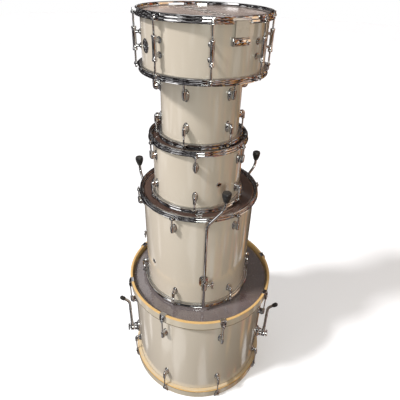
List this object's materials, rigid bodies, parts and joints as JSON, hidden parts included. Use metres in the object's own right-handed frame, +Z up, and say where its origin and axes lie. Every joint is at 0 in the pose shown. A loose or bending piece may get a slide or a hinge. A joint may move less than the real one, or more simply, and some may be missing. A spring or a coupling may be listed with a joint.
{
  "type": "acoustic drum kit",
  "caption": "Acoustic drum kit shells stacked for storage: bass drum, floor tom with upturned legs, rack toms and an upturned snare drum.",
  "frame": {"origin": "on the floor under the centre of the bass drum, at the undersides of the lower claws", "axes": "+Z up the stack; -Y is the front, which the bass drum spurs lean towards; +X to the right seen from the front"},
  "size_m": [0.69, 0.5906, 1.4899],
  "materials": {
    "white_wrap": "plywood shell in a glossy off-white wrap",
    "maple": "lacquered natural maple with an off-white inlay",
    "chrome": "polished",
    "clear_film": "clear glossy film on a metal flesh hoop",
    "black_rubber": "satin",
    "strap_plastic": "satin"
  },
  "bodies": {
    "bass_drum": {"bass_shell": "white_wrap", "bass_batter_hoop": "maple", "bass_front_hoop": "maple", "bass_batter_head": "clear_film", "bass_front_head": "clear_film", "left_spur_bracket": "chrome", "right_spur_bracket": "chrome"},
    "left_spur": {"left_spur_leg": "chrome", "left_spur_tip": "black_rubber"},
    "right_spur": {"right_spur_leg": "chrome", "right_spur_tip": "black_rubber"},
    "left_spur_wing_bolt": {"left_spur_bolt": "chrome"},
    "right_spur_wing_bolt": {"right_spur_bolt": "chrome"},
    "floor_tom_drum": {"floor_tom_shell": "white_wrap", "floor_tom_top_hoop": "chrome", "floor_tom_bottom_hoop": "chrome", "floor_tom_top_head": "clear_film", "floor_tom_bottom_head": "clear_film", "floor_tom_bracket_1": "chrome", "floor_tom_bracket_2": "chrome", "floor_tom_bracket_3": "chrome"},
    "tom_12_drum": {"tom_12_shell": "white_wrap", "tom_12_top_hoop": "chrome", "tom_12_bottom_hoop": "chrome", "tom_12_top_head": "clear_film", "tom_12_bottom_head": "clear_film"},
    "tom_10_drum": {"tom_10_shell": "white_wrap", "tom_10_top_hoop": "chrome", "tom_10_bottom_hoop": "chrome", "tom_10_top_head": "clear_film", "tom_10_bottom_head": "clear_film"},
    "floor_leg_1": {"floor_tom_leg_1": "chrome", "floor_tom_foot_1": "black_rubber"},
    "floor_leg_1_wing_bolt": {"floor_tom_bolt_1": "chrome"},
    "floor_leg_2": {"floor_tom_leg_2": "chrome", "floor_tom_foot_2": "black_rubber"},
    "floor_leg_2_wing_bolt": {"floor_tom_bolt_2": "chrome"},
    "floor_leg_3": {"floor_tom_leg_3": "chrome", "floor_tom_foot_3": "black_rubber"},
    "floor_leg_3_wing_bolt": {"floor_tom_bolt_3": "chrome"},
    "snare_drum": {"snare_shell": "white_wrap", "snare_side_hoop": "chrome", "snare_batter_hoop": "chrome", "snare_side_head": "clear_film", "snare_batter_head": "clear_film", "snare_wires": "chrome", "butt_strap": "strap_plastic", "strainer_strap": "strap_plastic", "butt_plate": "chrome", "strainer_body": "chrome", "snare_lug_1": "chrome", "snare_lug_2": "chrome", "snare_lug_3": "chrome", "snare_lug_4": "chrome", "snare_lug_5": "chrome", "snare_lug_6": "chrome", "snare_lug_7": "chrome", "snare_lug_8": "chrome"},
    "strainer_throw_lever": {"strainer_lever": "chrome"},
    "strainer_tension_knob": {"strainer_knob": "chrome"}
  },
  "joints": [
    {"name": "floor_tom_lift", "type": "slide", "parent": "bass_drum", "child": "floor_tom_drum", "axis": [0, 0, 1], "range_m": [0, 0.12]},
    {"name": "tom_12_lift", "type": "slide", "parent": "floor_tom_drum", "child": "tom_12_drum", "axis": [0, 0, 1], "range_m": [0, 0.12]},
    {"name": "tom_10_lift", "type": "slide", "parent": "tom_12_drum", "child": "tom_10_drum", "axis": [0, 0, 1], "range_m": [0, 0.12]},
    {"name": "snare_lift", "type": "slide", "parent": "tom_10_drum", "child": "snare_drum", "axis": [0, 0, 1], "range_m": [0, 0.12]},
    {"name": "left_spur_fold", "type": "hinge", "parent": "bass_drum", "child": "left_spur", "pos_m": [-0.30427, -0.06857, 0.165], "axis": [0.9755, 0.2198, 0], "range_deg": [0, 110]},
    {"name": "left_spur_bolt_turn", "type": "hinge", "parent": "bass_drum", "child": "left_spur_wing_bolt", "pos_m": [-0.30427, -0.06857, 0.165], "axis": [-0.9755, -0.2198, 0], "range_deg": [0, 540]},
    {"name": "right_spur_fold", "type": "hinge", "parent": "bass_drum", "child": "right_spur", "pos_m": [0.30427, -0.06857, 0.165], "axis": [0.9755, -0.2198, 0], "range_deg": [0, 110]},
    {"name": "right_spur_bolt_turn", "type": "hinge", "parent": "bass_drum", "child": "right_spur_wing_bolt", "pos_m": [0.30427, -0.06857, 0.165], "axis": [0.9755, -0.2198, 0], "range_deg": [0, 540]},
    {"name": "floor_leg_1_slide", "type": "slide", "parent": "floor_tom_drum", "child": "floor_leg_1", "axis": [0, 0, 1], "range_m": [-0.008, 0.09]},
    {"name": "floor_leg_1_bolt_turn", "type": "hinge", "parent": "floor_tom_drum", "child": "floor_leg_1_wing_bolt", "pos_m": [0.01846, -0.22087, 0.6149], "axis": [0.9885, 0.1513, 0], "range_deg": [0, 540]},
    {"name": "floor_leg_2_slide", "type": "slide", "parent": "floor_tom_drum", "child": "floor_leg_2", "axis": [0, 0, 1], "range_m": [-0.008, 0.09]},
    {"name": "floor_leg_2_bolt_turn", "type": "hinge", "parent": "floor_tom_drum", "child": "floor_leg_2_wing_bolt", "pos_m": [0.16223, 0.14787, 0.6149], "axis": [-0.6252, 0.7804, 0], "range_deg": [0, 540]},
    {"name": "floor_leg_3_slide", "type": "slide", "parent": "floor_tom_drum", "child": "floor_leg_3", "axis": [0, 0, 1], "range_m": [-0.008, 0.09]},
    {"name": "floor_leg_3_bolt_turn", "type": "hinge", "parent": "floor_tom_drum", "child": "floor_leg_3_wing_bolt", "pos_m": [-0.22899, 0.088, 0.6149], "axis": [-0.3633, -0.9317, 0], "range_deg": [0, 540]},
    {"name": "strainer_throw", "type": "hinge", "parent": "snare_drum", "child": "strainer_throw_lever", "pos_m": [-0.11749, 0.14603, 1.42085], "axis": [0.8616, 0.5075, 0], "range_deg": [0, 95]},
    {"name": "strainer_tension", "type": "hinge", "parent": "snare_drum", "child": "strainer_tension_knob", "pos_m": [-0.10937, 0.13225, 1.37285], "axis": [0, 0, 1], "range_deg": [-360, 360]}
  ]
}
